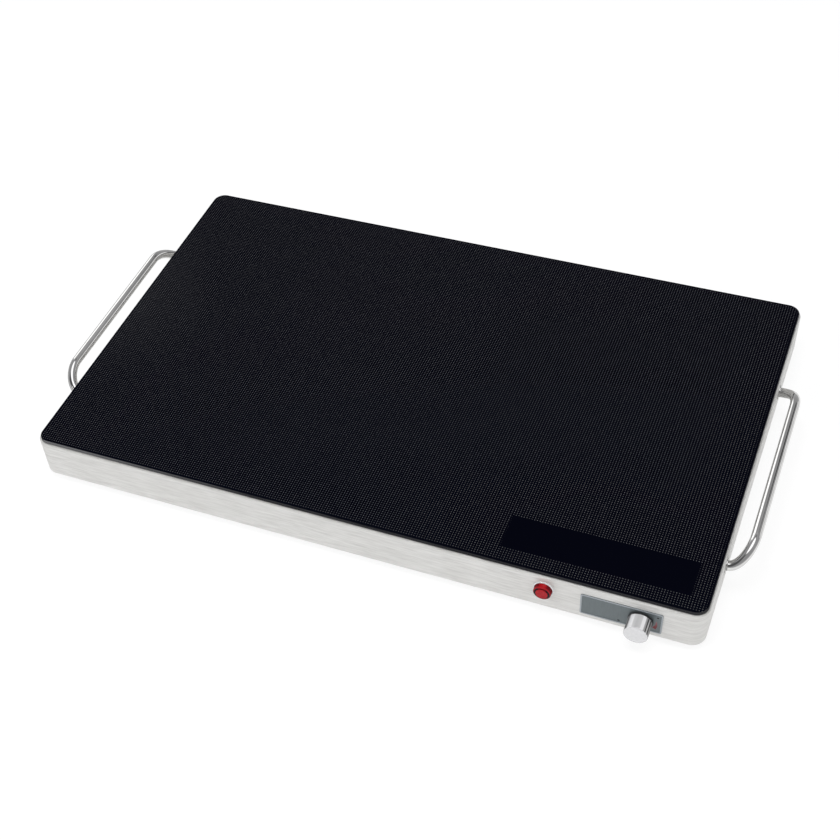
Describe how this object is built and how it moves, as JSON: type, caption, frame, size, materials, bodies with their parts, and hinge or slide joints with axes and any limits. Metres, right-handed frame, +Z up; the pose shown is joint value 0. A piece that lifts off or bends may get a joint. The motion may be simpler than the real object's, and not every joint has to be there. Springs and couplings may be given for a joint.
{
  "type": "electric food warming tray",
  "caption": "Flat electric food warmer with a bevelled black glass top on a brushed steel body, bent bar handles at the ends, a rotary heat control and a red pilot light.",
  "frame": {"origin": "middle of the whole outline in plan, on the surface that the feet stand on", "axes": "+X runs to the right along the length, from handle to handle, +Y from the control side to the rear, +Z up out of the glass"},
  "size_m": [0.642, 0.3942, 0.0486],
  "materials": {
    "body_steel": "brushed",
    "black_glass": "polished",
    "handle_steel": "polished",
    "zinc_steel": "satin",
    "control_grey": "satin",
    "knob_chrome": "polished",
    "bezel_chrome": "polished",
    "lens_red": "gloss",
    "black_rubber": "matte",
    "seal_black": "matte",
    "black_plastic": "matte",
    "pale_plastic": "matte",
    "brass": "satin",
    "alu_sheet": "satin",
    "cord_silicone": "matte",
    "insulation_wool": "matte",
    "lead_red": "gloss"
  },
  "bodies": {
    "tray_body": {"glass_top": "black_glass", "glass_seal": "seal_black", "housing": "body_steel", "base_plate": "zinc_steel", "base_screws": "zinc_steel", "feet": "black_rubber", "foot_screws": "zinc_steel", "foot_nuts": "zinc_steel", "handle_left": "handle_steel", "handle_right": "handle_steel", "handle_washers": "handle_steel", "handle_inner_washers": "zinc_steel", "handle_nuts": "zinc_steel", "control_plate": "control_grey", "thermostat_body": "pale_plastic", "thermostat_nut": "brass", "pilot_bezel": "bezel_chrome", "pilot_lens": "lens_red", "pilot_body": "black_plastic", "pilot_nut": "black_plastic", "spread_plate": "alu_sheet", "heating_cord": "cord_silicone", "heater_foil": "alu_sheet", "insulation": "insulation_wool", "cord_grommets": "black_rubber", "tray": "zinc_steel", "tray_brackets": "zinc_steel", "tray_screws": "zinc_steel", "thermal_fuse": "alu_sheet", "fuse_clip": "zinc_steel", "terminal_block": "pale_plastic", "terminal_inserts": "brass", "block_screws": "zinc_steel", "earth_screw": "zinc_steel", "earth_nut": "brass", "earth_tag": "brass", "cable_gland": "black_plastic", "gland_nut": "black_plastic", "splice_sleeves": "pale_plastic", "leads": "lead_red", "lead_clips": "pale_plastic"},
    "dial": {"knob": "knob_chrome", "thermostat_shaft": "brass"}
  },
  "joints": [
    {"name": "dial_turn", "type": "hinge", "parent": "tray_body", "child": "dial", "pos_m": [0.2494, -0.18895, 0.0239], "axis": [0, 1, 0], "range_deg": [0, 182]}
  ]
}
